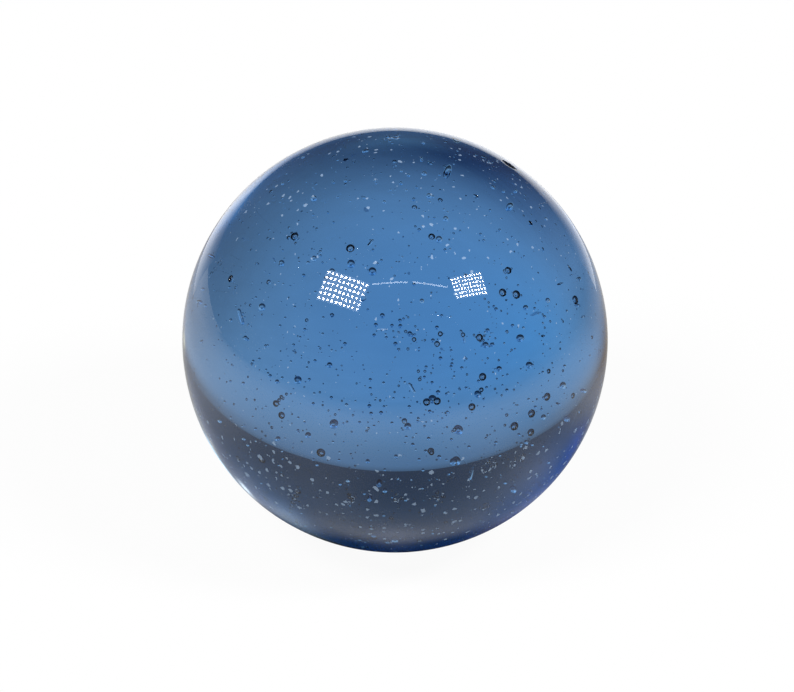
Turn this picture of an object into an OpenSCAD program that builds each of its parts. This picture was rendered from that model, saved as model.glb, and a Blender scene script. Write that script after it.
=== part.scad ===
// Glass marble: one solid ball of clear blue glass, full of seed bubbles.
//
// A marble is cut hot from a stream of molten glass and rolled round between grooved rollers,
// so it is one piece and a true sphere. Air that the melt never let go of stays in it as
// "seeds", which are real voids here. Most are tiny and scattered. Some are large enough to be
// told apart, some sit in knots where the glass was folded, a string of them hangs where one
// long bubble broke up, and some were drawn out as the stream was pulled. The origin is the
// centre of the ball, azimuth -90 is its front, and all sizes are in millimetres.

/* [Ball] */
// Diameter of the ball
ball_d = 25; // [14:0.5:50]

/* [Room round the seeds] */
// Least clear glass between two seeds
seed_gap = 0.05; // [0.02:0.01:0.3]
// Least clear glass between a seed and the bottom of the deepest mark in the surface
seed_cover = 0.15; // [0.05:0.05:1]

/* [Scattered seeds] */
// Places tried for a scattered seed: one that would be too near another is left out
scatter_tries = 280; // [20:10:400]
// Diameter of the smallest scattered seed
scatter_d_min = 0.13; // [0.08:0.01:0.2]
// Diameter of the largest scattered seed
scatter_d_max = 0.34; // [0.25:0.01:0.8]
// How far the small ones outnumber the large ones: 1 is not at all
small_bias = 2.5; // [1:0.5:6]
// How far the seeds lie towards the bottom of the ball: 1 is not at all
low_bias = 1.2; // [1:0.05:2]
// Number of the random pattern
pattern = 56; // [1:1:999]

/* [Large seeds] */
// Diameter of the smallest large seed
large_d_min = 0.36; // [0.2:0.02:0.5]
// Diameter of the largest large seed
large_d_max = 0.5; // [0.3:0.02:0.9]

/* [Knots] */
// Places tried for a seed in each knot
knot_tries = 11; // [4:1:20]
// Diameter of a knot
knot_d = 1; // [0.8:0.1:2.5]
// Diameter of the largest seed in a knot
knot_seed_d = 0.24; // [0.2:0.02:0.4]

/* [String of seeds] */
// Number of seeds in the string low on the left of the front
string_seeds = 7; // [2:1:8]
// Diameter of the string's top seed, which is its largest
string_seed_d = 0.36; // [0.2:0.02:0.4]

/* [Drawn seeds] */
// Places tried for a drawn seed
drawn_tries = 12; // [1:1:24]
// Length of a drawn seed
drawn_l = 0.6; // [0.4:0.1:2.4]
// Thickness of a drawn seed
drawn_d = 0.14; // [0.1:0.02:0.3]
// How far a drawn seed may lean away from upright
drawn_lean = 35; // [0:5:90]

/* [Surface wear] */
// Diameter of the mouth of an open pit, where a seed broke through
pit_d = 0.34; // [0.2:0.02:0.8]
// Depth of a pit
pit_depth = 0.08; // [0.04:0.01:0.1]
// Width of the chip high on the right
chip_w = 1.2; // [0.8:0.1:3]
// Depth of the chip
chip_depth = 0.1; // [0.05:0.01:0.15]

/* [Hidden] */
glass_blue = [0.30, 0.51, 0.74, 0.75];
$fn = 24;
ball_fn = 180;
ball_r = ball_d / 2;
skin = seed_cover + max(pit_depth, chip_depth);

// A place is an azimuth, an elevation and, under the surface, a depth as a share of the radius
LARGE = [
    [-64, 15, 0.14], [-81, 10, 0.15], [-78, 10, 0.15], [-68, 7, 0.14], [-80, -5, 0.14],
    [-123, 2, 0.13], [-125, 5, 0.13], [-44, 41, 0.13], [-50, 36, 0.14], [-45, 34, 0.14],
    [-21, 23, 0.12], [-140, 51, 0.13], [-43, 3, 0.13], [-49, 0, 0.13], [-55, -2, 0.13],
    [-49, -6, 0.13], [-71, 57, 0.14], [-111, 53, 0.14], [-111, -7, 0.13], [-63, 26, 0.14],
    [-156, 31, 0.12], [-131, -15, 0.12]
];
KNOTS = [
    [90, 64, 0.27], [18, 63, 0.11], [-103, -22, 0.12], [-89, -21, 0.12], [-77, -21, 0.13],
    [-60, -30, 0.12], [-42, -30, 0.11], [-62, 26, 0.17], [-141, 51, 0.15], [-124, 6, 0.17],
    [-62, -13, 0.13], [-52, -14, 0.13], [-82, 18, 0.2]
];
STRING = [[-120, -23, 0.11], [-127, -35, 0.1]];
PITS = [[-150, 32], [-156, 76], [-40, 62], [-25, 48], [-100, 38], [60, -10], [140, 25]];
CHIP = [15, 57];

// Unit vector at an azimuth and an elevation
function aim(azimuth, elevation) = [
    cos(elevation) * cos(azimuth),
    cos(elevation) * sin(azimuth),
    sin(elevation)
];

// Radius inside which the middle of something d across may lie
function reach(d) = ball_r - skin - d / 2;

// Where the middle of something d across goes, for a place under the surface
function sunk(place, d) = aim(place[0], place[1]) * min(ball_r * (1 - place[2]), reach(d));

// A run of random numbers from 0 to 1, with a number of its own for each use
function draws(count, use) = rands(0, 1, count, 100 * pattern + use);

// A random way to look, from two random numbers
function any_way(turn, rise, bias = 1) = aim(360 * turn, asin(2 * pow(rise, bias) - 1));

// A seed is its middle, its length, its thickness and its turn; a round one is as long as thick
function round_seed(middle, d) = [middle, d, d, [0, 0, 0]];

function is_clear(seed, others) =
    min([ball_d, for (other = others)
        norm(seed[0] - other[0]) - (seed[1] + other[1]) / 2]) >= seed_gap;

// Adds seeds one at a time, and leaves out each one that is too near a seed already there
function add_clear(kept, tries, i = 0) =
    i == len(tries) ? kept :
    add_clear(is_clear(tries[i], kept) ? concat(kept, [tries[i]]) : kept, tries, i + 1);

large_seeds =
    let (size = draws(len(LARGE), 10))
    [for (i = [0 : len(LARGE) - 1])
        let (d = large_d_min + (large_d_max - large_d_min) * size[i])
        round_seed(sunk(LARGE[i], d), d)];

// Each seed of the string is a little smaller than the one above it
hung_seeds =
    [for (i = [0 : string_seeds - 1])
        let (
            down = i / (string_seeds - 1),
            d = string_seed_d * (1 - 0.4 * down)
        )
        round_seed(sunk(STRING[0] + (STRING[1] - STRING[0]) * down, d), d)];

drawn_seeds =
    let (
        turn = draws(drawn_tries, 20),
        rise = draws(drawn_tries, 21),
        away = draws(drawn_tries, 22),
        lean = draws(drawn_tries, 23)
    )
    [for (i = [0 : drawn_tries - 1])
        [
            any_way(turn[i], rise[i]) * reach(drawn_l) * pow(away[i], 1 / 3),
            drawn_l,
            drawn_d,
            [0, drawn_lean * lean[i], 360 * rise[i]]
        ]];

knot_seeds = [
    for (k = [0 : len(KNOTS) - 1])
        let (
            turn = draws(knot_tries, 30 + k),
            rise = draws(knot_tries, 50 + k),
            away = draws(knot_tries, 70 + k),
            size = draws(knot_tries, 90 + k),
            room = (knot_d - knot_seed_d) / 2
        )
        for (i = [0 : knot_tries - 1])
            round_seed(
                sunk(KNOTS[k], knot_d) + any_way(turn[i], rise[i]) * room * sqrt(away[i]),
                knot_seed_d * (0.6 + 0.4 * size[i])
            )
];

scattered_seeds =
    let (
        turn = draws(scatter_tries, 1),
        rise = draws(scatter_tries, 2),
        away = draws(scatter_tries, 3),
        size = draws(scatter_tries, 4)
    )
    [for (i = [0 : scatter_tries - 1])
        let (d = scatter_d_min + (scatter_d_max - scatter_d_min) * pow(size[i], small_bias))
        round_seed(any_way(turn[i], rise[i], low_bias) * reach(d) * pow(away[i], 1 / 3), d)];

seeds = add_clear(
    [],
    concat(large_seeds, hung_seeds, drawn_seeds, knot_seeds, scattered_seeds)
);

// One seed: a small ball, or a short thread with round ends where it was drawn out
module seed(middle, l, d, turn) {
    tip = (l - d) / 2;
    translate(middle)
        rotate(turn)
            if (tip > 0) {
                cylinder(h = 2 * tip, d = d, center = true);
                for (end = [-tip, tip])
                    translate([0, 0, end])
                        sphere(d = d);
            } else {
                sphere(d = d);
            }
}

// A round tool that leaves a dish w across and h deep in the ball's surface
module dish(place, w, h) {
    tool_r = (w * w / 4 + h * h) / (2 * h);
    translate(aim(place[0], place[1]) * (ball_r - h + tool_r))
        sphere(r = tool_r);
}

module glass_ball() {
    color(glass_blue)
        difference() {
            sphere(d = ball_d, $fn = ball_fn);
            for (this = seeds)
                seed(this[0], this[1], this[2], this[3]);
            for (pit = PITS)
                dish(pit, pit_d, pit_depth);
            dish(CHIP, chip_w, chip_depth);
        }
}

glass_ball();
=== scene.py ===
# %% [markdown]
# A glass marble, dressed on its frame
#
# The marble is one ball of clear blue glass with air bubbles, called seeds, sealed in it. The
# frame, which is the construction model, says how large the ball is, where each seed lies, and
# where the skin is pitted and chipped. This script reads those facts back and builds the ball
# that is seen: glass that bends light and takes the red out of it, a skin with the fine wear of
# play, and round it a white card, two lamps and a dark room.
#
# The frame is loaded first, and its box gives the ball's middle and its size.

# %% Load the frame
import math

import bmesh
import bpy
import numpy as np
from mathutils import Matrix, Vector


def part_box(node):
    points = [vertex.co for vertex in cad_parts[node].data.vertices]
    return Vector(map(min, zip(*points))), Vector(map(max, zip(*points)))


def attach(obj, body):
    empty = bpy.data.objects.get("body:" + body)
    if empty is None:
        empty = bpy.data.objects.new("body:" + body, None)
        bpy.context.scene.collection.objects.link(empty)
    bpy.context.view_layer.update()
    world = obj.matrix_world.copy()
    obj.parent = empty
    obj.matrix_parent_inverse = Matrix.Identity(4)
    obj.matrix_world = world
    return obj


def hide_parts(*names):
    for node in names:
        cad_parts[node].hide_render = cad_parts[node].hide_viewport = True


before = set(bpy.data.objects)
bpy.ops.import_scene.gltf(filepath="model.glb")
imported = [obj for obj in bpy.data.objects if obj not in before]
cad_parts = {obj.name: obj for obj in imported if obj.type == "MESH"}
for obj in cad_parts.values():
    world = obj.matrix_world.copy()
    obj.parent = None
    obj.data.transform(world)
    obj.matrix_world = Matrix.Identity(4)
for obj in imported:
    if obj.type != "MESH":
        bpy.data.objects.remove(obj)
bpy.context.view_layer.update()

BALL = "glass_ball"
low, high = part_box(BALL)
ball_middle = np.array((low + high) / 2)
ball_r = max(high - low) / 2
mm = 0.001
print(f"ball: {2 * ball_r / mm:.2f} mm across")

# %% [markdown]
# Writing shaders as sums
#
# A material is a graph of nodes. It can be wired by hand in the shader editor, but in code long
# lists of nodes and links are hard to read. Here a small class wraps one socket, and the usual
# operators on it add the Math nodes, so that 1 - mask is written as it would be on paper. Every
# other kind of node comes from the one method, node, which sets the node up and plugs it in.

# %% A wire that does sums
class Wire:
    """One output socket of a shader graph. Sums on it add Math nodes."""

    def __init__(self, tree, socket):
        self.tree = tree
        self.socket = socket

    def node(self, kind, settings=None, inputs=None, output=0):
        """A new node: its settings are made first, then its sockets get values or wires."""
        made = self.tree.nodes.new(kind)
        for name, value in (settings or {}).items():
            if name == "stops":
                set_stops(made.color_ramp, value)
            else:
                setattr(made, name, value)
        for name, value in (inputs or {}).items():
            if isinstance(value, Wire):
                self.tree.links.new(value.socket, made.inputs[name])
            else:
                made.inputs[name].default_value = value
        return Wire(self.tree, made.outputs[output]) if len(made.outputs) else made

    def sum(self, operation, *terms):
        return self.node("ShaderNodeMath", {"operation": operation}, dict(enumerate(terms)))

    def __add__(self, other):
        return self.sum("ADD", self, other)

    def __sub__(self, other):
        return self.sum("SUBTRACT", self, other)

    def __rsub__(self, other):
        return self.sum("SUBTRACT", other, self)

    def __mul__(self, other):
        return self.sum("MULTIPLY", self, other)

    def __gt__(self, other):
        return self.sum("GREATER_THAN", self, other)

    def __lt__(self, other):
        return self.sum("LESS_THAN", self, other)

    __radd__ = __add__
    __rmul__ = __mul__


def set_stops(ramp, stops):
    """Gives a ramp its stops, each a place from 0 to 1 and a grey or a colour."""
    while len(ramp.elements) < len(stops):
        ramp.elements.new(0.5)
    for element, (place, shade) in zip(ramp.elements, stops):
        element.position = place
        element.color = (shade, shade, shade, 1) if isinstance(shade, (int, float)) else (*shade, 1)


def new_material(name):
    """An empty material, a wire to start from, and the node that the surface plugs into."""
    material = bpy.data.materials.new(name)
    material.use_nodes = True
    tree = material.node_tree
    tree.nodes.clear()
    output = tree.nodes.new("ShaderNodeOutputMaterial")
    return material, Wire(tree, None), output


def plug(wire, node, name):
    wire.tree.links.new(wire.socket, node.inputs[name])


print("wires ready")

# %% [markdown]
# Reading the seeds back
#
# The frame's ball is one mesh: an outer skin, and inside it a closed shell for each seed. Two
# points are on the same shell when a run of edges joins them. The mesh could be cut apart by
# loose parts in edit mode, which is slow with hundreds of shells. Here each point starts with a
# number of its own, the lower number spreads along every edge, and after a few rounds all the
# points of a shell carry the same one.

# %% Tell the shells apart
WELD = 1e-7


def welded(mesh):
    """The mesh's points with doubles merged, and its edges as pairs of those points."""
    places = np.empty(len(mesh.vertices) * 3)
    mesh.vertices.foreach_get("co", places)
    ends = np.empty(len(mesh.edges) * 2, int)
    mesh.edges.foreach_get("vertices", ends)
    places = places.reshape(-1, 3)
    grid = np.round(places / WELD).astype(np.int64)
    _, first, same = np.unique(grid, axis=0, return_index=True, return_inverse=True)
    return places[first], same.reshape(-1)[ends].reshape(-1, 2)


def joined(count, edges):
    """For each point a number that it shares with every point that edges lead to."""
    number = np.arange(count)
    while True:
        before = number.copy()
        lower = number[edges].min(1)
        np.minimum.at(number, edges[:, 0], lower)
        np.minimum.at(number, edges[:, 1], lower)
        number = number[number]
        if (number == before).all():
            return number


def groups(number):
    """The points of each number, as lists of indices."""
    order = np.argsort(number, kind="stable")
    return np.split(order, np.flatnonzero(np.diff(number[order])) + 1)


points, edges = welded(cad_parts[BALL].data)
points -= ball_middle
shells = groups(joined(len(points), edges))
print(f"frame mesh: {len(points)} points in {len(shells)} shells")

# %% [markdown]
# Measuring what was found
#
# The shell that reaches out furthest is the skin, and the others are seeds. A seed is round, or
# drawn out where the glass was pulled while it was soft. Its own three widest directions say
# which: a singular value decomposition of its points gives them in order, and a seed counts as
# drawn when it is a fifth longer than it is thick. Where the skin dips inside the round it has
# a pit or the chip, and a least-squares sphere through the dip gives the hollow's centre and
# radius.

# %% Measure the seeds and the dishes in the skin
SKIN_TOLERANCE = 2e-6
DRAWN_FROM = 1.2
FEWEST_IN_A_DIP = 6


def measured_seed(cloud):
    """A seed's middle, its long direction, half its length and half its thickness."""
    _, _, ways = np.linalg.svd(cloud - cloud.mean(0), full_matrices=False)
    ends = [(np.min(cloud @ way), np.max(cloud @ way)) for way in ways]
    middle = sum(way * (a + b) / 2 for way, (a, b) in zip(ways, ends))
    half_l, half_d, _ = [(b - a) / 2 for a, b in ends]
    return middle, ways[0], half_l, half_d


def fitted_sphere(cloud):
    """The centre and radius of the sphere that passes nearest to the points."""
    about = cloud.mean(0)
    near = cloud - about
    rows = np.c_[2 * near, np.ones(len(near))]
    found = np.linalg.lstsq(rows, (near**2).sum(1), rcond=None)[0]
    return about + found[:3], math.sqrt(found[3] + (found[:3] ** 2).sum())


def reach(shell):
    return np.linalg.norm(points[shell], axis=1).max()


skin = max(shells, key=reach)
seeds = [measured_seed(points[shell]) for shell in shells if shell is not skin]
drawn_count = sum(half_l > DRAWN_FROM * half_d for _, _, half_l, half_d in seeds)

dipped = np.zeros(len(points), bool)
dipped[skin] = np.linalg.norm(points[skin], axis=1) < ball_r - SKIN_TOLERANCE
dips = joined(len(points), edges[dipped[edges].all(1)])
dishes = [fitted_sphere(points[dip]) for dip in groups(dips) if len(dip) >= FEWEST_IN_A_DIP]
print(f"{len(seeds)} seeds, {drawn_count} of them drawn out; {len(dishes)} dishes in the skin")

# %% [markdown]
# The skin
#
# A sphere of many flat triangles bends light in steps, so the skin needs two things: triangles
# small enough for its outline and its dishes, and normals that are worked out, not averaged. It
# could be a sphere with the dishes cut by booleans, which leaves long thin triangles round each
# cut. Here an icosphere is split more finely near each dish, and every point is then set at the
# distance from the middle at which its direction leaves the glass: the round of the ball, or
# the floor of a dish where one is nearer.

# %% Split an icosphere more finely round the dishes
SKIN_SUBDIVISIONS = 7
DISH_SPLITS = 3
SPLIT_MARGIN = 0.25 * mm


def dish_rim(dish):
    """The direction of a dish and the angle from it to the dish's rim."""
    centre, tool_r = dish
    away = np.linalg.norm(centre)
    cosine = (away**2 + ball_r**2 - tool_r**2) / (2 * away * ball_r)
    return centre / away, math.acos(cosine)


def split_near(bm, way, angle):
    """Splits each edge whose middle is within the angle of a direction."""
    limit = math.cos(angle)
    way = Vector(way)
    near = []
    for edge in bm.edges:
        middle = edge.verts[0].co + edge.verts[1].co
        if middle.dot(way) > limit * middle.length:
            near.append(edge)
    bmesh.ops.subdivide_edges(bm, edges=near, cuts=1)
    bmesh.ops.triangulate(bm, faces=[face for face in bm.faces if len(face.verts) > 3])


skin_bm = bmesh.new()
bmesh.ops.create_icosphere(skin_bm, subdivisions=SKIN_SUBDIVISIONS, radius=1)
for dish in dishes:
    way, rim = dish_rim(dish)
    for step in range(DISH_SPLITS):
        margin = SPLIT_MARGIN / ball_r / 2**step
        split_near(skin_bm, way, rim + margin)
skin_bm.verts.index_update()
skin_ways = np.array([vert.co for vert in skin_bm.verts])
skin_ways /= np.linalg.norm(skin_ways, axis=1)[:, None]
skin_faces = np.array([[vert.index for vert in face.verts] for face in skin_bm.faces])
skin_bm.free()
print(f"skin: {len(skin_faces)} triangles")

# %% [markdown]
# Ripple, and normals that are worked out
#
# Hand-made glass isn't a perfect sphere. It was rolled while it was soft, which left it a few
# thousandths of a millimetre out of round, and that is enough to make the edge of the table
# waver in it. The ripple is a sum of a few slow waves in different directions. A sum of sines
# is easy to differentiate, so its slope is known at every point, and the normal leans by that
# slope. Sampled noise would do for the height but would leave the normals to be guessed from
# the triangles.

# %% Set the skin's points and its normals
rng = np.random.default_rng(31)
RIPPLE = 0.0022 * mm
RIPPLE_LENGTHS = np.array([3.2, 3.9, 4.6, 5.5, 6.5, 7.5, 9.0, 11.0]) * mm


def unit(vectors):
    return vectors / np.linalg.norm(vectors, axis=-1, keepdims=True)


wave_ways = unit(rng.normal(size=(len(RIPPLE_LENGTHS), 3)))
wave_starts = rng.uniform(0, 2 * math.pi, len(RIPPLE_LENGTHS))


def ripple(ways):
    """The ripple's height over each direction, and its slope in space."""
    numbers = 2 * math.pi / RIPPLE_LENGTHS
    heights = RIPPLE * RIPPLE_LENGTHS / RIPPLE_LENGTHS.max()
    phases = ball_r * (ways @ wave_ways.T) * numbers + wave_starts
    slopes = (np.cos(phases) * heights * numbers) @ wave_ways
    return np.sin(phases) @ heights - heights.sum(), slopes


def skin_reach(ways):
    """How far out the skin lies in each direction, and the dish there, or -1 for none."""
    distance = ball_r + ripple(ways)[0]
    owner = np.full(len(ways), -1)
    for number, (centre, tool_r) in enumerate(dishes):
        along = ways @ centre
        inside = along**2 - centre @ centre + tool_r**2
        floor = along - np.sqrt(np.maximum(inside, 0))
        nearer = (inside > 0) & (along > 0) & (floor < distance)
        distance[nearer] = floor[nearer]
        owner[nearer] = number
    return distance, owner


def skin_normals(ways, places, owner):
    """The normal at each place: the round's with its ripple, or the dish's."""
    slopes = ripple(ways)[1]
    across = slopes - ways * (slopes * ways).sum(1, keepdims=True)
    normals = unit(ways - across)
    for number, (centre, tool_r) in enumerate(dishes):
        here = owner == number
        normals[here] = unit(centre - places[here])
    return normals


skin_distance, skin_owner = skin_reach(skin_ways)
skin_points = skin_ways * skin_distance[:, None]
face_ways = unit(skin_ways[skin_faces].mean(1))
face_owner = skin_reach(face_ways)[1]
corner = skin_faces.reshape(-1)
skin_corner_normals = skin_normals(skin_ways[corner], skin_points[corner], np.repeat(face_owner, 3))
print(f"ripple: {np.ptp(skin_distance[skin_owner < 0]) / mm:.4f} mm from crest to trough")

# %% [markdown]
# The seeds
#
# A seed is a closed shell in the glass with its normals pointing into the empty space, so that
# light meets it as it meets the outside of the ball: it leaves the glass there and comes back in
# on the far side. The round ones are icospheres, and a drawn one is an icosphere pulled along
# its length, with blunt ends, as surface tension leaves them. The normals again come from the
# formula of the shape, which lets a seed of a few dozen triangles shine like a round one.

# %% Make the shell of a seed
ROUGH = 1
COARSE = 2
FINE = 3
FINE_FROM = 0.2 * mm
BLUNTNESS = 2.5


def icosphere(subdivisions):
    """Directions and triangles of an icosphere."""
    bm = bmesh.new()
    bmesh.ops.create_icosphere(bm, subdivisions=subdivisions, radius=1)
    ways = unit(np.array([vert.co for vert in bm.verts]))
    faces = np.array([[vert.index for vert in face.verts] for face in bm.faces])
    bm.free()
    return ways, faces


ICOSPHERES = {level: icosphere(level) for level in (ROUGH, COARSE, FINE)}


def seed_shell(seed, level):
    """Points, triangles and corner normals of one seed, all facing into the void."""
    middle, way, half_l, half_d = seed
    ways, faces = ICOSPHERES[level]
    along = ways @ way
    pull = (half_l - half_d) / math.tanh(BLUNTNESS)
    stretch = pull * np.tanh(BLUNTNESS * along)
    slope = pull * BLUNTNESS / np.cosh(BLUNTNESS * along) ** 2
    places = middle + ways * half_d + stretch[:, None] * way
    lean = slope / (half_d + slope) * along
    normals = -unit(ways - lean[:, None] * way)
    turned = faces[:, ::-1]
    return places, turned, normals[turned.reshape(-1)]


def mesh_piece(name, shells, material):
    """One object from many shells, each with points, triangles and corner normals."""
    counts = np.cumsum([0] + [len(places) for places, _, _ in shells])
    places = np.concatenate([shell[0] for shell in shells]) + ball_middle
    faces = np.concatenate([shell[1] + start for shell, start in zip(shells, counts)])
    normals = np.concatenate([shell[2] for shell in shells])
    mesh = bpy.data.meshes.new(name)
    mesh.from_pydata(places.tolist(), [], faces.tolist())
    mesh.shade_smooth()
    mesh.normals_split_custom_set(normals.tolist())
    mesh.materials.append(material)
    piece = bpy.data.objects.new(name, mesh)
    bpy.context.scene.collection.objects.link(piece)
    print(f"{name}: {len(shells)} shells, {len(faces)} triangles")
    return piece


seed_shells = [seed_shell(seed, FINE if seed[3] * 2 >= FINE_FROM else COARSE) for seed in seeds]
print(f"seeds: {sum(len(faces) for _, faces, _ in seed_shells)} triangles")

# %% [markdown]
# Wear on the skin
#
# The skin has the wear of a ball that was played with: hair-fine scratches, tiny nicks and a
# little haze from handling. They could be modelled, but they are too fine for triangles, so they
# are a bump and a change of roughness. A scratch is where a slow wave crosses its crest, and
# noise breaks it into lengths. Each row of scratches is the turn of its wave, its scale, and the
# noise above which it shows. Patterns are scaled by the number of their cells to a millimetre.

# %% Work out the wear
SCRATCHES = [((0.3, 0.9, 0.2), 0.9, 0.62), ((1.4, 0.1, 1.1), 1.3, 0.66), ((0.7, 2.2, 1.9), 0.7, 0.64)]
SCRATCH_CREST = 0.9985
SCRATCH_ROUGHNESS = 0.12
NICK_CELLS = 1.4
NICK_SIZE = 0.035
NICK_ROUGHNESS = 0.3
NICK_DEPTH = 1.5
HAZE_CELLS = 0.35
HAZE = 0.03
WEAR_DEPTH = 0.001 * mm


def scratches(wire, place, turn, scale, keep):
    """Thin curved lines, 1 on a scratch and 0 off it."""
    turned = wire.node("ShaderNodeMapping", None, {"Vector": place, "Rotation": turn})
    wave = turned.node(
        "ShaderNodeTexWave",
        {"wave_type": "BANDS", "bands_direction": "X", "wave_profile": "SIN"},
        {"Vector": turned, "Scale": scale, "Distortion": 1.5, "Detail": 1.0, "Detail Scale": 0.7},
        output=1,
    )
    breaks = wire.node("ShaderNodeTexNoise", None, {"Vector": turned, "Scale": 0.45, "Detail": 2.0})
    return (wave > SCRATCH_CREST) * (breaks > keep)


def worn(wire, place):
    """The roughness of the worn skin, and its bump."""
    lines = sum(scratches(wire, place, *scratch) for scratch in SCRATCHES)
    nicks = wire.node("ShaderNodeTexVoronoi", None, {"Vector": place, "Scale": NICK_CELLS}) < NICK_SIZE
    haze = wire.node("ShaderNodeTexNoise", None, {"Vector": place, "Scale": HAZE_CELLS, "Detail": 4.0})
    rough = (haze - 0.5) * HAZE + lines * SCRATCH_ROUGHNESS + nicks * NICK_ROUGHNESS
    height = lines * -1.0 - nicks * NICK_DEPTH
    bump = wire.node("ShaderNodeBump", None, {"Height": height, "Distance": WEAR_DEPTH})
    return rough, bump


print(f"wear: {len(SCRATCHES)} sets of scratches, nicks and haze")

# %% [markdown]
# Frosted flecks
#
# The larger nicks are frosted flecks, in cells of a Voronoi pattern that noise has warped to
# make them ragged. An even scatter would look like spatter, but real wear isn't even. There are
# more flecks low and at the top, as the stops say from the foot up, and at the back they are
# small, since the ball magnifies what lies at its far side. Smaller ones crowd in clusters. A
# cluster is placed by two angles as seen from the ball's middle, an azimuth counted from +X and
# an elevation, and has a radius in millimetres.

# %% Work out the flecks
FLECK_CELLS = 2.3
FLECK_SIZE = 0.34
FLECK_STOPS = [(0, 0.4), (0.2, 0.7), (0.3, 1.2), (0.43, 1.2), (0.5, 0.42), (0.78, 0.42), (0.88, 0.8)]
FLECK_WARP = 0.3
BACK_SIZE = 0.3
FAR_SIDE = (0.0, 0.883, -0.469)
FAR_SIDE_FROM = 0.5
FLECK_CLUSTERS = [
    (-102, -18, 0.45), (-95, -14, 0.4), (-89, -17, 0.3), (-78, -16, 0.45), (-79, -11, 0.4),
    (-70, -14, 0.3), (-64, -9, 0.5), (-56, -10, 0.4), (-45, -27, 0.4), (-94, -27, 0.3),
    (-86, -28, 0.3), (-120, -22, 0.4), (-130, -12, 0.25), (90, 84, 0.4), (4, 65, 0.4),
]
CLUSTER_CELLS = 5
CLUSTER_SIZE = 0.6


def toward(azimuth, elevation):
    """The direction at an azimuth from +X and an elevation, both in degrees."""
    a, e = math.radians(azimuth), math.radians(elevation)
    return Vector((math.cos(e) * math.cos(a), math.cos(e) * math.sin(a), math.sin(e)))


def specks(wire, place, cells, size):
    """Spots of many sizes, one in each cell of the given number to a millimetre."""
    near = wire.node("ShaderNodeTexVoronoi", None, {"Vector": place, "Scale": cells})
    colour = wire.node("ShaderNodeTexVoronoi", None, {"Vector": place, "Scale": cells}, output=1)
    chance = wire.node("ShaderNodeSeparateColor", None, {"Color": colour})
    return near < chance * chance * size


def frosted_flecks(wire, place):
    """Ragged flecks, more or fewer by height, and clusters of smaller ones: 1 on a fleck."""
    warp = wire.node("ShaderNodeTexNoise", None, {"Vector": place, "Scale": 4.0}, output=1)
    torn = wire.node(
        "ShaderNodeVectorMath",
        {"operation": "MULTIPLY_ADD"},
        {0: warp, 1: (FLECK_WARP, FLECK_WARP, FLECK_WARP), 2: place},
    )
    height = wire.node("ShaderNodeSeparateXYZ", None, {"Vector": place}, output=2)
    level = height * (0.5 * mm / ball_r) + 0.5
    share = wire.node("ShaderNodeValToRGB", {"stops": FLECK_STOPS}, {"Fac": level})
    back = wire.node("ShaderNodeVectorMath", {"operation": "DOT_PRODUCT"}, {0: place, 1: FAR_SIDE}, 1)
    shrunk = 1 - (back > FAR_SIDE_FROM * ball_r / mm) * (1 - BACK_SIZE)
    flecks = specks(wire, torn, FLECK_CELLS, share * shrunk * FLECK_SIZE)
    crowd = 0
    for azimuth, elevation, radius in FLECK_CLUSTERS:
        middle = tuple(toward(azimuth, elevation) * ball_r / mm)
        away = wire.node("ShaderNodeVectorMath", {"operation": "DISTANCE"}, {0: torn, 1: middle}, 1)
        crowd = crowd + (away < radius)
    crowded = specks(wire, torn, CLUSTER_CELLS, CLUSTER_SIZE) * (crowd > 0.5)
    return flecks + crowded > 0.5


print(f"flecks: {len(FLECK_CLUSTERS)} clusters")

# %% [markdown]
# The glass
#
# Blue glass isn't painted: its surface is clear, and the colour comes from the way through it.
# A tinted surface would be as dark at the rim as in the middle, but here a Volume Absorption
# node takes the red out along every millimetre, so that a long way through the ball is a deeper
# blue than a short one. Density times one less the colour is what each metre takes. A fleck is
# pale from either side, so it is half Diffuse and half Translucent, and is mixed in over the
# clear glass where the pattern says so.

# %% Mix the glass
GLASS_IOR = 1.52
ABSORPTION = 96
GLASS_TINT = (0.114, 0.532, 0.852)
FLECK_COLOUR = (0.6, 0.78, 1.0)
FLECK_COVER = 0.52


def glass_material(name, absorbs):
    """Clear worn glass. The ball's own body also absorbs light, and its skin has flecks."""
    material, wire, output = new_material(name)
    place = wire.node("ShaderNodeTexCoord", output=3)
    place = place.node("ShaderNodeVectorMath", {"operation": "SCALE"}, {0: place, "Scale": 1 / mm})
    rough, bump = worn(wire, place)
    clear = {"Base Color": (1, 1, 1, 1), "Transmission Weight": 1.0, "IOR": GLASS_IOR}
    surface = wire.node("ShaderNodeBsdfPrincipled", None, clear | {"Roughness": rough, "Normal": bump})
    if absorbs:
        pale = {"Color": (*FLECK_COLOUR, 1)}
        outer = wire.node("ShaderNodeBsdfDiffuse", None, pale)
        inner = wire.node("ShaderNodeBsdfTranslucent", None, pale)
        fleck = wire.node("ShaderNodeMixShader", None, {0: 0.5, 1: outer, 2: inner})
        cover = frosted_flecks(wire, place) * FLECK_COVER
        surface = wire.node("ShaderNodeMixShader", None, {0: cover, 1: surface, 2: fleck})
        body = wire.node(
            "ShaderNodeVolumeAbsorption", None, {"Color": (*GLASS_TINT, 1), "Density": ABSORPTION}
        )
        plug(body, output, "Volume")
    plug(surface, output, "Surface")
    return material


blue_glass = glass_material("blue_glass", absorbs=True)
print("glass:", [round(ABSORPTION * (1 - tint), 1) for tint in GLASS_TINT], "per metre")

# %% [markdown]
# The ball put together
#
# The skin and the frame's seeds become one mesh with one material. The glass is what lies
# between them, and a seed's wall is where that volume ends. Each seed could be an object of its
# own, but then hundreds of objects would have to be kept with the ball.

# %% Assemble the ball
marble = mesh_piece(
    "marble_glass", [(skin_points, skin_faces, skin_corner_normals)] + seed_shells, blue_glass
)
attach(marble, "root")
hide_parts(BALL)

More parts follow.
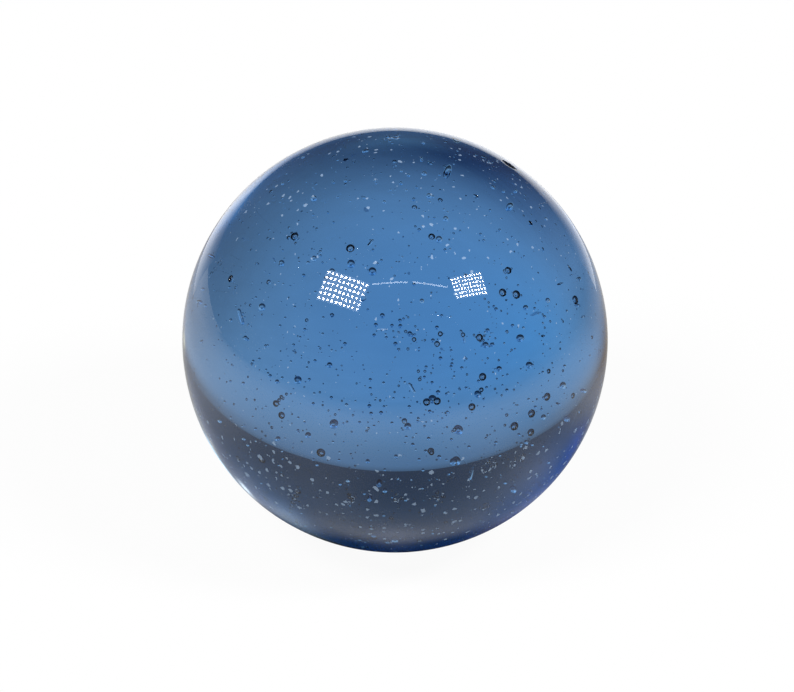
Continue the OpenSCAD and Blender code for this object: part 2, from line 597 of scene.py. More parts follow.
# %% [markdown]
# The finest seeds
#
# Between the seeds of the frame hang some two thousand finer ones, down to a twentieth of a
# millimetre, which are only specks to the eye. They could be painted, but specks on the skin
# would slide over the inside when the ball turns. Here they are real voids too, on coarser
# icospheres, scattered by chance with a fixed start so that every run gives the same ball. Many
# of them trail round the larger seeds, as they do where a bubble broke up in the melt. The ball
# is its own magnifying glass for whatever lies at its far side, so only the smallest go there.
# They are so small that it makes no difference whether they absorb light, so their material
# leaves that out.

# %% Scatter the finest seeds
FINE_TRIES = 2400
FINE_D = (0.055 * mm, 0.145 * mm)
TRAIL_SHARE = 0.4
TRAIL_SPREAD = 0.8 * mm
SKIN_ROOM = 0.3 * mm
SEED_ROOM = 0.02 * mm
MAGNIFIED_FROM = 0.55
MAGNIFIED_D = 1.3 * FINE_D[0]
ROUGH_UNDER = 0.07 * mm

seed_middles = np.array([seed[0] for seed in seeds])
seed_reaches = np.array([seed[2] for seed in seeds])


def fine_seed_places(count):
    """Places all through the ball, some of them near the larger seeds."""
    ways = unit(rng.normal(size=(count, 3)))
    free = ways * ball_r * rng.uniform(0, 1, (count, 1)) ** (1 / 3)
    near = seed_middles[rng.integers(len(seeds), size=count)]
    trail = near + rng.normal(size=(count, 3)) * TRAIL_SPREAD
    return np.where(rng.uniform(size=(count, 1)) < TRAIL_SHARE, trail, free)


def is_clear(place, size):
    """Whether a fine seed fits: under the skin, off every larger seed, and not magnified."""
    gaps = np.linalg.norm(seed_middles - place, axis=1) - seed_reaches - size
    magnified = place @ FAR_SIDE > MAGNIFIED_FROM * ball_r and 2 * size > MAGNIFIED_D
    under_skin = np.linalg.norm(place) < ball_r - SKIN_ROOM
    return under_skin and gaps.min() > SEED_ROOM and not magnified


fine_sizes = FINE_D[0] + (FINE_D[1] - FINE_D[0]) * rng.uniform(size=FINE_TRIES) ** 2
up = np.array([0.0, 0.0, 1.0])
fine_shells = [
    seed_shell((place, up, size / 2, size / 2), ROUGH if size < ROUGH_UNDER else COARSE)
    for place, size in zip(fine_seed_places(FINE_TRIES), fine_sizes)
    if is_clear(place, size / 2)
]
fine_seeds = mesh_piece("fine_seeds", fine_shells, glass_material("seed_wall", absorbs=False))
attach(fine_seeds, "root")

# %% [markdown]
# Placing the lamps
#
# Two lamps hang over the viewer's shoulders, and each is a flat board that faces the ball. The
# whole studio is placed by the same two angles as the clusters of flecks, and by a distance in
# ball radii. It could be placed in metres, but this is how a studio's plan would note it down,
# and it keeps its look if the ball's size is changed.

# %% Directions and placings round the ball
LAMP_DISTANCE = 14 * ball_r
LAMPS = {
    "left_lamp": {
        "azimuth": -130.4, "elevation": 47.6, "turn": 5.6, "width": 5.75, "height": 3.86, "glow": 24
    },
    "right_lamp": {
        "azimuth": -33.3, "elevation": 44.7, "turn": -21.1, "width": 4.3, "height": 2.72, "glow": 38.4
    },
}


def facing(azimuth, elevation, turn, distance):
    """A placing whose -Z looks at the ball, turned about that line by an angle."""
    way = toward(azimuth, elevation)
    side = Vector((-way.y, way.x, 0)).normalized()
    square = Matrix((side, way.cross(side), way)).transposed().to_4x4()
    spin = Matrix.Rotation(math.radians(turn), 4, "Z")
    return Matrix.Translation(Vector(ball_middle) + way * distance) @ square @ spin


def staged(name, mesh):
    """An object of that mesh in the scene, for the studio, and not attached to the marble."""
    made = bpy.data.objects.new(name, mesh)
    bpy.context.scene.collection.objects.link(made)
    return made


for lamp in LAMPS.values():
    lamp["placing"] = facing(lamp["azimuth"], lamp["elevation"], lamp["turn"], LAMP_DISTANCE)
    lamp["size"] = np.array([lamp["width"], lamp["height"]]) * ball_r
    print("lamp at", [round(c / mm) for c in lamp["placing"].translation], "mm")

# %% [markdown]
# The table
#
# The ball stands on a sheet of white card. Glass shows its whole surroundings, so the card's
# outline matters: the ball turns the picture behind it upside down, and the dark room past the
# card's far edge becomes the dark crescent along the bottom of the ball. The sheet has rounded
# corners and lies a little turned. Its mesh is rings round the spot where the ball stands. They
# are close together there, because the next cells colour each point with the light that falls
# on it.

# %% Lay out the card's points
CARD_FAR, CARD_NEAR = 9 * ball_r, 16 * ball_r
CARD_LEFT, CARD_RIGHT = 15 * ball_r, 18 * ball_r
CARD_TURN = math.radians(-4)
CARD_ROUNDING = 8
FINE_RINGS_R = 4 * ball_r
FINE_RINGS = 134
WIDE_RINGS = 26
WIDE_GROWTH = 1.3
CARD_SECTORS = 288


def card_edge(turns):
    """How far the card's edge is from the ball's foot in each direction."""
    x, y = np.cos(turns - CARD_TURN), np.sin(turns - CARD_TURN)
    across = np.abs(x) / np.where(x > 0, CARD_RIGHT, CARD_LEFT)
    along = np.abs(y) / np.where(y > 0, CARD_FAR, CARD_NEAR)
    return (across**CARD_ROUNDING + along**CARD_ROUNDING) ** (-1 / CARD_ROUNDING)


turns = np.linspace(0, 2 * math.pi, CARD_SECTORS, endpoint=False)
fine = np.linspace(0, FINE_RINGS_R, FINE_RINGS + 1)[1:]
wide = np.linspace(0, 1, WIDE_RINGS + 1)[1:, None] ** WIDE_GROWTH
rings = np.concatenate([
    np.repeat(fine[:, None], CARD_SECTORS, axis=1),
    FINE_RINGS_R + wide * (card_edge(turns) - FINE_RINGS_R),
])
card_x = np.concatenate([[0], (rings * np.cos(turns)).ravel()])
card_y = np.concatenate([[0], (rings * np.sin(turns)).ravel()])
print(f"card: {len(card_x)} points, {rings.shape[0]} rings")

# %% [markdown]
# The light on the card
#
# Some lamp light falls straight on the card, and some goes through the ball, which gathers it
# into two bright blue patches inside its shadow. That second part matters, since every seed and
# the ball's whole lower rim mirror it. The renderer can find such light only by luck, from the
# card's side, and leaves grain or nothing. So here it is traced from the lamp's side: straight
# rays from points on the lamp to points on the ball, bent by Snell's law at the skin, dimmed by
# the glass, bent again, and added up where they land on a grid over the card.

# %% Trace lamp light through the ball
BEAM = 12
BRIGHTEST = 5
RAYS = 1_300_000
GRID_HALF = 4 * ball_r
GRID_CELLS = 270
LEAST_FALL = 1e-3
tint_per_metre = ABSORPTION * (1 - np.array(GLASS_TINT))


def bent(ways, normals, ratio):
    """Snell's law: the new directions, and the cosines before and after."""
    before = -(ways * normals).sum(1)
    after = np.sqrt(np.maximum(1 - ratio**2 * (1 - before**2), 0))
    return ratio * ways + (ratio * before - after)[:, None] * normals, before, after


def share_passed(before, after, ratio):
    """Fresnel's law: the share of the light that isn't mirrored."""
    flat = (ratio * before - after) / (ratio * before + after)
    steep = (ratio * after - before) / (ratio * after + before)
    return 1 - (flat**2 + steep**2) / 2


def gathered_light(lamp):
    """The light that one lamp throws on the grid through the ball."""
    across, along, way = np.array(lamp["placing"].to_3x3()).T
    spots = rng.uniform(-0.5, 0.5, (RAYS, 2)) * lamp["size"]
    spots = spots @ np.array([across, along]) + way * LAMP_DISTANCE
    reach, turn = ball_r * np.sqrt(rng.uniform(size=RAYS)), rng.uniform(0, 2 * math.pi, RAYS)
    aims = reach[:, None] * (np.outer(np.cos(turn), across) + np.outer(np.sin(turn), along))
    ways, distance = unit(aims - spots), np.linalg.norm(aims - spots, axis=1)
    flux = lamp["glow"] * (ways @ -way) ** (2 + BEAM) / distance**2
    flux *= lamp["size"].prod() * math.pi * ball_r**2 / RAYS

    near = (spots * ways).sum(1)
    entry = spots + (-near - np.sqrt(near**2 - (spots**2).sum(1) + ball_r**2))[:, None] * ways
    inside, before, after = bent(ways, entry / ball_r, 1 / GLASS_IOR)
    flux *= share_passed(before, after, 1 / GLASS_IOR)
    chord = -2 * (entry * inside).sum(1)
    leaving = entry + chord[:, None] * inside
    outside, before, after = bent(inside, -leaving / ball_r, GLASS_IOR)
    flux *= share_passed(before, after, GLASS_IOR)

    lands = outside[:, 2] < -LEAST_FALL
    fall = (-ball_r - leaving[lands, 2]) / outside[lands, 2]
    ground = leaving[lands, :2] + fall[:, None] * outside[lands, :2]
    cell = (2 * GRID_HALF / GRID_CELLS) ** 2
    edges_of_grid = [[-GRID_HALF, GRID_HALF]] * 2
    return np.stack([
        np.histogram2d(
            ground[:, 0], ground[:, 1], GRID_CELLS, edges_of_grid,
            weights=(flux * np.exp(-taken * chord))[lands],
        )[0] / cell
        for taken in tint_per_metre
    ], axis=-1)


gathered = sum(gathered_light(lamp) for lamp in LAMPS.values())
print("brightest gathered light:", np.round(gathered.max((0, 1)), 1))

# %% [markdown]
# Direct light and the shadow
#
# The rest is shorter. Each lamp is cut into a few patches, and a point of the card adds up the
# patches that it can see past the ball. Near the foot some patches are hidden and others are
# not, which gives the shadow its soft edge. Weak light from the whole ceiling fills the shadow,
# but not under the ball's overhang.

# %% Add the direct light at each point of the card
LAMP_PATCHES = (12, 8)
CARD_WHITE = 0.9
FILL_LIGHT = 0.3
FILL_HEIGHT = 3
OVERHANG = (0.95, 1.6)


def centred(count):
    return (np.arange(count) + 0.5) / count - 0.5


def direct_light(lamp, x, y):
    """The light straight from a lamp at points of the card: with the ball, and without it."""
    across, along, way = np.array(lamp["placing"].to_3x3()).T
    patch = lamp["size"].prod() / np.prod(LAMP_PATCHES)
    shaded, open_light = np.zeros(len(x)), np.zeros(len(x))
    for u in centred(LAMP_PATCHES[0]) * lamp["size"][0]:
        for v in centred(LAMP_PATCHES[1]) * lamp["size"][1]:
            spot = way * LAMP_DISTANCE + across * u + along * v
            line = spot - np.stack([x, y, np.full(len(x), -ball_r)], axis=1)
            distance = np.linalg.norm(line, axis=1)
            ways = line / distance[:, None]
            light = lamp["glow"] * (ways @ way) ** (1 + BEAM) * ways[:, 2] * patch / distance**2
            foot = x * ways[:, 0] + y * ways[:, 1] - ball_r * ways[:, 2]
            blocked = (foot < 0) & (x**2 + y**2 < foot**2)
            shaded += np.where(blocked, 0, light)
            open_light += light
    return shaded, open_light


def eased(value, start, end):
    """0 up to the start, 1 from the end on, and a smooth rise between them."""
    t = np.clip((value - start) / (end - start), 0, 1)[:, None]
    return t * t * (3 - 2 * t)


def from_grid(grid, x, y):
    """The grid's light at points, blended between its four nearest cells."""
    u = (x + GRID_HALF) / (2 * GRID_HALF) * GRID_CELLS - 0.5
    v = (y + GRID_HALF) / (2 * GRID_HALF) * GRID_CELLS - 0.5
    inside = (u > 0) & (v > 0) & (u < GRID_CELLS - 1) & (v < GRID_CELLS - 1)
    u, v = np.where(inside, u, 0), np.where(inside, v, 0)
    i, j = u.astype(int), v.astype(int)
    s, t = (u - i)[:, None], (v - j)[:, None]
    near = grid[i, j] * (1 - s) * (1 - t) + grid[i + 1, j] * s * (1 - t)
    far = grid[i, j + 1] * (1 - s) * t + grid[i + 1, j + 1] * s * t
    return np.where(inside[:, None], near + far, 0)


falls = [direct_light(lamp, card_x, card_y) for lamp in LAMPS.values()]
shaded = sum(pair[0] for pair in falls)[:, None]
open_light = sum(pair[1] for pair in falls)[:, None]
through = from_grid(gathered, card_x, card_y)
through = through / (1 + through / BRIGHTEST)
away = np.hypot(card_x, card_y) / ball_r
overhang = 1 - eased(away, *OVERHANG)
fill = FILL_LIGHT * (1 - overhang) / (1 + (away[:, None] / FILL_HEIGHT) ** 2) ** 2
card_light = CARD_WHITE / math.pi * (shaded + through) + fill
card_shade = shaded / open_light
print(f"card near the ball: {CARD_WHITE / math.pi * open_light[0, 0]:.2f} of white")

# %% [markdown]
# Spots on the card
#
# The rest of the studio is told by its effect on the card alone. A spot is a soft round patch
# at a place counted in ball radii from the foot, with the share of red, green and blue light
# that it takes away or the light that it adds. One pair of lists is for the card as the glass
# bends it into view, which is the part behind and under the ball, and the other is for the card
# as the ball mirrors it. They could be lamps and screens round the card, but then each would
# light the whole ball, and not the one patch that it is there for.

# %% List the spots
BENT_SHADES = [
    ((-1.9, 1.9), 1.3, (0.3, 0.14, 0.06)),
    ((-0.33, 1.88), 0.36, (0.4, 0.12, 0.0)),
    ((0.5, 1.2), 0.45, (0.4, 0.4, 0.4)),
    ((2.0, 1.7), 1.0, (0.3, 0.3, 0.3)),
    ((0.2, 3.2), 1.3, (0.16, 0.17, 0.2)),
]
BENT_LIGHTS = [
    ((-0.3, 1.15), 0.4, (0.0, 0.03, 0.09)),
    ((0.0, 0.98), 0.1, (0.2, 0.25, 0.25)),
]
MIRRORED_SHADES = [
    ((1.25, 0.2), 0.6, (0.9, 0.9, 0.9)),
    ((0.0, -1.45), 0.45, (0.2, 0.2, 0.2)),
    ((2.2, 1.9), 0.9, (0.5, 0.65, 0.85)),
    ((0.7, -0.45), 0.35, (0.5, 0.4, 0.2)),
    ((1.7, -0.3), 0.45, (0.4, 0.35, 0.2)),
    ((-1.5, -0.15), 0.65, (0.3, 0.3, 0.3)),
    ((-1.3, -0.75), 0.6, (0.4, 0.4, 0.4)),
    ((2.6, -1.2), 0.8, (0.5, 0.5, 0.5)),
    ((-0.72, -0.72), 0.25, (0.3, 0.3, 0.3)),
]
MIRRORED_LIGHTS = [
    ((1.2, -0.25), 0.55, (0.02, 0.12, 0.5)),
    ((1.36, 0.25), 0.25, (0.07, 0.1, 0.4)),
    ((-1.85, 1.87), 0.15, (0.6, 0.6, 0.4)),
    ((-1.18, 0.43), 0.1, (0.35, 0.35, 0.3)),
    ((-0.67, -0.47), 0.18, (0.2, 0.35, 0.6)),
    ((-0.95, -0.35), 0.4, (0.0, 0.1, 0.3)),
    ((-0.88, 0.03), 0.075, (1.5, 1.8, 2.0)),
    ((-1.0, -0.25), 0.2, (0.17, 0.17, 0.15)),
    ((-0.6, -0.33), 0.2, (0.15, 0.15, 0.06)),
    ((0.58, -0.27), 0.18, (0.1, 0.08, 0.05)),
    ((0.0, -0.74), 0.16, (0.25, 0.27, 0.35)),
]
print("spots as bent:", len(BENT_SHADES + BENT_LIGHTS))
print("spots as mirrored:", len(MIRRORED_SHADES + MIRRORED_LIGHTS))

# %% [markdown]
# The viewer, the window and the foot
#
# Larger shades and lights come on top. Light that the ball gathers from all round comes down
# right under it. Whoever looks at the ball stands in the light of its near side, and a window
# lifts the light further forward and to the left. The mirrored light fades out towards the
# card's edge, where a sudden end would draw a hard line in the glass. Each pair of numbers says
# where such a part begins and where it is whole, in ball radii from the foot, or for the side
# fade as a share of the way to the edge.

# %% Light the card
UNDER_LIGHT = np.array([0.3, 0.42, 0.5])
UNDER_EDGE = (0.7, 0.97)
FAR_LIGHT = 0.1
FAR_PART = (4.2, 6.5)
VIEWER_SHADE = 0.6
VIEWER_PLACE = 0.3
VIEWER_WIDTH = 1.3
VIEWER_PART = (0.2, 1.3)
WINDOW_LIGHT = 0.5
WINDOW_FRONT = (0.8, 5.3)
WINDOW_SIDE = (1.5, 6)
FOOT_PART = (0.55, 0.8)
SIDE_FADE = (0.6, 1)
SIDE_FADE_BEFORE = 3
NEAR_FADE = (3.5, 16)
x_r, y_r = card_x / ball_r, card_y / ball_r


def spot(place, size):
    """1 at a place of the card, and fading to 0 round it."""
    off = np.hypot(x_r - place[0], y_r - place[1])
    return np.exp(-((off / size) ** 2))[:, None]


def with_spots(light, shades, lights):
    """The light on the card with its shades taken away and then its lights added."""
    for place, size, taken in shades:
        light = light * (1 - spot(place, size) * np.array(taken))
    for place, size, added in lights:
        light = light + spot(place, size) * np.array(added)
    return light


before_viewer = np.exp(-(((x_r - VIEWER_PLACE) / VIEWER_WIDTH) ** 2))[:, None]
viewer = 1 - VIEWER_SHADE * eased(-y_r, *VIEWER_PART) * before_viewer
from_front = eased(-y_r, *WINDOW_FRONT) * (1 - eased(x_r, *WINDOW_SIDE))
window = WINDOW_LIGHT * np.maximum(from_front, eased(-x_r, *WINDOW_SIDE))
to_edge = np.concatenate([[0], (rings / card_edge(turns)).ravel()])
side_fade = (y_r[:, None] < SIDE_FADE_BEFORE) * eased(to_edge, *SIDE_FADE)
near_fade = eased(np.log(np.maximum(-y_r, 1)), *np.log(NEAR_FADE))
card_mirrored = card_light * viewer * eased(away, *FOOT_PART) + window
card_mirrored = card_mirrored * (1 - side_fade) * (1 - near_fade)
card_mirrored = with_spots(card_mirrored, MIRRORED_SHADES, MIRRORED_LIGHTS)

under = 1 - eased(away, *UNDER_EDGE)
card_bent = card_light + UNDER_LIGHT * under + FAR_LIGHT * eased(y_r, *FAR_PART)
card_bent = with_spots(card_bent, BENT_SHADES, BENT_LIGHTS)
print(f"card: {card_bent.max():.2f} at most as bent, {card_mirrored.max():.2f} as mirrored")

# %% [markdown]
# The card's own look
#
# The card is coloured by the light that was just worked out, kept at its points as three colour
# attributes: one for what the glass bends, one for what it mirrors, and one for what the camera
# sees directly. The last is nearly plain white, with a twentieth of the shadow's depth, so that
# the ball stands on it without a grey floor behind. A faint grain stands for the card's tooth.

# %% Make the card
SHADOW_DEPTH = 0.05
TOOTH = 0.14
TOOTH_SCALE = 420


def only_mirrored(wire):
    """1 for light on its way to a mirroring surface, and 0 for bent or scattered light."""
    glossy = wire.node("ShaderNodeLightPath", output="Is Glossy Ray")
    return glossy * wire.node("ShaderNodeLightPath", output="Is Reflection Ray")


def card_material():
    material, wire, output = new_material("white_card")
    grain = wire.node("ShaderNodeTexNoise", None, {"Scale": TOOTH_SCALE, "Detail": 4.0})
    tooth = grain * TOOTH + (1 - TOOTH / 2)
    looks = {}
    for layer, scale in (("bent", tooth), ("mirrored", tooth), ("seen", 1.0)):
        kept = wire.node("ShaderNodeVertexColor", {"layer_name": layer})
        shade = wire.node("ShaderNodeVectorMath", {"operation": "SCALE"}, {0: kept, "Scale": scale})
        looks[layer] = wire.node("ShaderNodeEmission", None, {"Color": shade, "Strength": 1.0})
    in_glass = {0: only_mirrored(wire), 1: looks["bent"], 2: looks["mirrored"]}
    hidden = wire.node("ShaderNodeMixShader", None, in_glass)
    is_camera = wire.node("ShaderNodeLightPath", output="Is Camera Ray")
    whole = wire.node("ShaderNodeMixShader", None, {0: is_camera, 1: hidden, 2: looks["seen"]})
    plug(whole, output, "Surface")
    material.cycles.emission_sampling = "NONE"
    return material


def ring_faces(ring_count, sectors):
    """The faces between rings round a middle point, which is point 0."""
    k = np.arange(sectors)
    after = (k + 1) % sectors
    faces = [(0, 1 + a, 1 + b) for a, b in zip(k, after)]
    for ring in range(ring_count - 1):
        inner, outer = 1 + ring * sectors, 1 + (ring + 1) * sectors
        faces += [(inner + a, outer + a, outer + b, inner + b) for a, b in zip(k, after)]
    return faces


def keep_colours(mesh, name, colours):
    layer = mesh.color_attributes.new(name, "FLOAT_COLOR", "POINT")
    layer.data.foreach_set("color", np.c_[colours, np.ones(len(colours))].ravel())


card_mesh = bpy.data.meshes.new("card")
card_places = np.stack([card_x, card_y, np.full(len(card_x), -ball_r)], axis=1) + ball_middle
card_mesh.from_pydata(card_places.tolist(), [], ring_faces(len(rings), CARD_SECTORS))
keep_colours(card_mesh, "bent", card_bent)
keep_colours(card_mesh, "mirrored", card_mirrored)
keep_colours(card_mesh, "seen", np.repeat(1 - SHADOW_DEPTH * (1 - card_shade), 3, axis=1))
card_mesh.materials.append(card_material())
staged("card", card_mesh)
print(f"card: {len(card_mesh.polygons)} faces, top at {card_places[0, 2] / mm:.2f} mm")

# %% [markdown]
# Surfaces that glow
#
# The lamps, the rails and the strip behind the ball are there to be mirrored in it, and a lamp
# object can't be shaped in such detail. A surface that glows can. These aren't sampled as lamps,
# which would cost time and change nothing, and they can be hidden from all but reflections.

# %% Make glowing surfaces
def glowing(name, colour, strength=1.0):
    """A surface that only glows, in one colour or in those kept at its points under a name."""
    material, wire, output = new_material(name)
    if isinstance(colour, str):
        shade = wire.node("ShaderNodeVertexColor", {"layer_name": colour})
    else:
        shade = (*colour, 1)
    glow = wire.node("ShaderNodeEmission", None, {"Color": shade, "Strength": strength})
    plug(glow, output, "Surface")
    material.cycles.emission_sampling = "NONE"
    return material


def only_reflected(made):
    """Hides an object from everything but the reflections of it."""
    made.visible_camera = False
    made.visible_diffuse = False
    made.visible_transmission = False
    made.visible_volume_scatter = False
    made.visible_shadow = False


print("glows ready")

# %% [markdown]
# The lamps themselves
#
# Each lamp is a board of small diodes, six rows of ten, and the ball is such a good mirror that
# every diode shows in it. The diodes are small bright discs on a dimmer board, and only
# reflections see them. An area light of the same size stands with them, and lights whatever
# isn't clear glass, such as the flecks of the ball.

# %% Hang the lamps
DIODE_GLOW = 34
DIODE_SIZE = 0.62
BOARD_GLOW = 2
DIODE_COLUMNS = 10
DIODE_ROWS = 6
DIODE_SIDES = 12
DIODE_LIFT = 0.01 * ball_r


def disc_on(bm, x, y, radius, height):
    ring = [
        bm.verts.new((x + radius * math.cos(t), y + radius * math.sin(t), height))
        for t in np.linspace(0, 2 * math.pi, DIODE_SIDES, endpoint=False)
    ]
    bm.faces.new(ring).material_index = 1


diode_light = glowing("diode_light", (1, 1, 1), DIODE_GLOW)
board_light = glowing("board_light", (0.8, 0.9, 1.0), BOARD_GLOW)


def diode_board(name, size):
    bm = bmesh.new()
    corners = [(-0.5, -0.5), (0.5, -0.5), (0.5, 0.5), (-0.5, 0.5)]
    bm.faces.new([bm.verts.new((x * size[0], y * size[1], 0)) for x, y in corners])
    radius = DIODE_SIZE / 2 * min(size[0] / DIODE_COLUMNS, size[1] / DIODE_ROWS)
    for x in centred(DIODE_COLUMNS) * size[0]:
        for y in centred(DIODE_ROWS) * size[1]:
            disc_on(bm, x, y, radius, -DIODE_LIFT)
    mesh = bpy.data.meshes.new(name)
    bm.to_mesh(mesh)
    bm.free()
    mesh.materials.append(board_light)
    mesh.materials.append(diode_light)
    return mesh


for name, lamp in LAMPS.items():
    board = staged(name, diode_board(name, lamp["size"]))
    board.matrix_world = lamp["placing"]
    only_reflected(board)
    light = bpy.data.lights.new(name + "_light", "AREA")
    light.shape = "RECTANGLE"
    light.size, light.size_y = lamp["size"]
    light.energy = lamp["glow"] * math.pi * lamp["size"].prod()
    soft = bpy.data.objects.new(name + "_light", light)
    bpy.context.scene.collection.objects.link(soft)
    soft.matrix_world = lamp["placing"]
    soft.visible_camera = False
    soft.visible_glossy = False
    soft.visible_transmission = False
    print(f"{name}: {light.size / mm:.0f} x {light.size_y / mm:.0f} mm, {light.energy:.2f} W")

# %% [markdown]
# The rails between the lamps
#
# Two thin bright rails run end to end from one lamp to the other, and a short dim one hangs
# lower. Each is placed by the directions of its two ends. They light nothing to speak of and
# are seen only as fine lines in the ball.

# %% Hang the rails
RAIL_WIDTH = 0.2 * ball_r
RAIL_COLOUR = (0.85, 0.93, 1.0)
RAILS = {
    "rail_left": ((-109.5, 55.0), (-78.6, 57.0), 6.5),
    "rail_right": ((-74.8, 56.8), (-48.5, 49.0), 6.5),
    "rail_low": ((-100.5, 32.7), (-94.3, 33.0), 2.2),
}


def rail(name, start, end, glow):
    """A straight strip between two directions, seen only in reflections."""
    a = toward(*start) * LAMP_DISTANCE
    b = toward(*end) * LAMP_DISTANCE
    across = (b - a).cross(a + b).normalized() * RAIL_WIDTH / 2
    mesh = bpy.data.meshes.new(name)
    mesh.from_pydata([a - across, b - across, b + across, a + across], [], [(0, 1, 2, 3)])
    mesh.materials.append(glowing(name, RAIL_COLOUR, glow))
    strip = staged(name, mesh)
    strip.location = ball_middle
    only_reflected(strip)


for name, (start, end, glow) in RAILS.items():
    rail(name, start, end, glow)
print(f"rails: {len(RAILS)}")

# %% [markdown]
# The shine at a flat angle
#
# The card's far part and the table past it are smooth enough to mirror, at a very flat angle, a
# white wall far behind. Only the very rim of the ball's top sees it so, because a ray that grazes
# the glass is turned least, and it gives the rim its thin pale edge. A strip that only reflections
# see stands for it. Its brightness is a small table, by the direction from the foot in degrees
# and by the distance in ball radii, and the points between are blended.

# %% Lay the shining strip
SHINE_COLUMNS = 60
SHINE_ROWS = 40
SHINE_LEVEL = 0.99
SHINE_AZIMUTHS = [48, 58, 67, 76, 90, 104, 112, 121, 134]
SHINE_TABLE = {
    4.7: [1.2, 1.3, 1.3, 1.3, 1.2, 1.0, 1.3, 1.2, 0.9],
    8: [0.3, 0.6, 0.8, 1.3, 1.1, 0.8, 1.3, 1.1, 0.4],
    14: [0.1, 0.25, 0.75, 1.2, 1.0, 0.6, 1.3, 0.55, 0.2],
    30: [0.0, 0.1, 0.4, 0.6, 0.7, 0.3, 0.65, 0.3, 0.1],
    56: [0.0, 0.05, 0.4, 0.5, 0.5, 0.2, 0.5, 0.1, 0.0],
}

shine_turns = np.linspace(SHINE_AZIMUTHS[0], SHINE_AZIMUTHS[-1], SHINE_COLUMNS)
shine_reach = np.geomspace(min(SHINE_TABLE), max(SHINE_TABLE), SHINE_ROWS)
rows = [np.interp(shine_turns, SHINE_AZIMUTHS, row) for row in SHINE_TABLE.values()]
logs = np.log(list(SHINE_TABLE))
levels = np.array([np.interp(np.log(shine_reach), logs, column) for column in np.transpose(rows)])
spread, out = np.meshgrid(np.radians(shine_turns), shine_reach * ball_r, indexing="ij")
level_ground = np.full(spread.size, -SHINE_LEVEL * ball_r)
shine_places = np.c_[(out * np.cos(spread)).ravel(), (out * np.sin(spread)).ravel(), level_ground]
corners = [i * SHINE_ROWS + j for i in range(SHINE_COLUMNS - 1) for j in range(SHINE_ROWS - 1)]
shine_mesh = bpy.data.meshes.new("table_shine")
shine_faces = [(k, k + 1, k + SHINE_ROWS + 1, k + SHINE_ROWS) for k in corners]
shine_mesh.from_pydata((shine_places + ball_middle).tolist(), [], shine_faces)
keep_colours(shine_mesh, "light", np.repeat(levels.ravel()[:, None], 3, axis=1))
shine_mesh.materials.append(glowing("table_shine", "light"))
only_reflected(staged("table_shine", shine_mesh))
print(f"shine: {len(shine_faces)} faces, brightest {levels.max():.1f}")

# %% [markdown]
# The dark room
#
# Past the card the room is dark. It is a large closed sphere that glows very faintly, most a
# little above the table's level, and what the glass bends finds it brighter on the viewer's
# side. The camera looks through it to a plain white world, so the picture has a white
# background, but what the glass bends or mirrors is the room.

# %% Build the room and the white world
ROOM_R = 60 * ball_r
HEIGHT_TONES = [(0.5, (0.06, 0.066, 0.076)), (0.6, (0.08, 0.086, 0.096)), (0.8, (0.035, 0.04, 0.045))]
FRONT_TONES = [(0.45, 0.0), (0.7, 0.25), (1.0, 0.35)]


def room_material():
    material, wire, output = new_material("dark_room")
    place = wire.node("ShaderNodeTexCoord", output=3)
    height = place.node("ShaderNodeSeparateXYZ", None, {"Vector": place}, output=2)
    level = height * (0.5 / ROOM_R) + 0.5
    depth = place.node("ShaderNodeSeparateXYZ", None, {"Vector": place}, output=1)
    front = 0.5 - depth * (0.5 / ROOM_R)
    tone = level.node("ShaderNodeValToRGB", {"stops": HEIGHT_TONES}, {"Fac": level})
    lift = level.node("ShaderNodeValToRGB", {"stops": FRONT_TONES}, {"Fac": front})
    lit = level.node("ShaderNodeVectorMath", {"operation": "ADD"}, {0: tone, 1: lift})
    glow_mirrored = wire.node("ShaderNodeEmission", None, {"Color": tone, "Strength": 1.0})
    glow_bent = wire.node("ShaderNodeEmission", None, {"Color": lit, "Strength": 1.0})
    both = wire.node(
        "ShaderNodeMixShader", None, {0: only_mirrored(wire), 1: glow_bent, 2: glow_mirrored}
    )
    plug(both, output, "Surface")
    material.cycles.emission_sampling = "NONE"
    return material


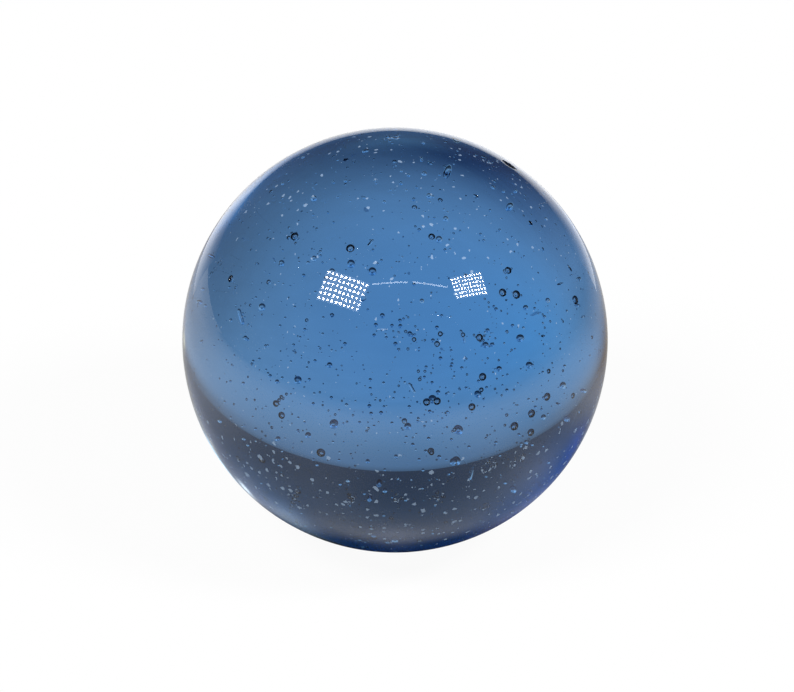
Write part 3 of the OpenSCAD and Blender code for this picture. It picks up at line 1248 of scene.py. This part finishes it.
room_mesh = bpy.data.meshes.new("room")
room_bm = bmesh.new()
bmesh.ops.create_uvsphere(room_bm, u_segments=48, v_segments=24, radius=ROOM_R)
bmesh.ops.reverse_faces(room_bm, faces=room_bm.faces)
room_bm.to_mesh(room_mesh)
room_bm.free()
room_mesh.materials.append(room_material())
room = staged("room", room_mesh)
room.visible_camera = False
room.visible_shadow = False

world = bpy.data.worlds.new("white_world")
world.use_nodes = True
world_tree = world.node_tree
world_tree.nodes.clear()
world_output = world_tree.nodes.new("ShaderNodeOutputWorld")
sky = Wire(world_tree, None)
RAY_KINDS = ("Is Camera Ray", "Is Glossy Ray", "Is Transmission Ray")
seen = sum(sky.node("ShaderNodeLightPath", output=kind) for kind in RAY_KINDS)
white = sky.node("ShaderNodeBackground", None, {"Color": (1, 1, 1, 1), "Strength": seen})
plug(white, world_output, "Surface")
bpy.context.scene.world = world
print(f"room: {2 * ROOM_R / mm:.0f} mm across")

# %% [markdown]
# The camera and the render
#
# The viewer looks down at the ball from 28 degrees above the table, from twelve radii away. So
# near, the rim that is seen is a little less than the ball's widest circle, and a long lens from
# further off would bend the card's edge otherwise. A ray may cross many seeds on its way, so it
# is allowed more passages through glass than the usual twelve.

# %% Set the camera and the render
CAMERA_DISTANCE = 12 * ball_r
CAMERA_ELEVATION = 28
HALF_WIDTH = 0.1559
SENSOR = 36
PASSAGES = 32

camera_data = bpy.data.cameras.new("camera")
camera_data.sensor_width = SENSOR
camera_data.lens = SENSOR / 2 / HALF_WIDTH
camera_data.shift_x = 0.0025
camera_data.shift_y = -0.0078
camera_data.clip_start = 0.01
camera = bpy.data.objects.new("camera", camera_data)
bpy.context.scene.collection.objects.link(camera)
camera.matrix_world = facing(-90, CAMERA_ELEVATION, 0, CAMERA_DISTANCE)

scene = bpy.context.scene
scene.camera = camera
scene.view_settings.view_transform = "Standard"
scene.cycles.max_bounces = PASSAGES
scene.cycles.transmission_bounces = PASSAGES
scene.cycles.transparent_max_bounces = PASSAGES
print(f"camera: {camera_data.lens:.1f} mm lens, {CAMERA_DISTANCE / mm:.0f} mm from the middle")

# %% [markdown]
#
# The box of what was built may be smaller than the frame's by the ripple of the skin, and it is never
# larger.

# %% Finish
print("finished")
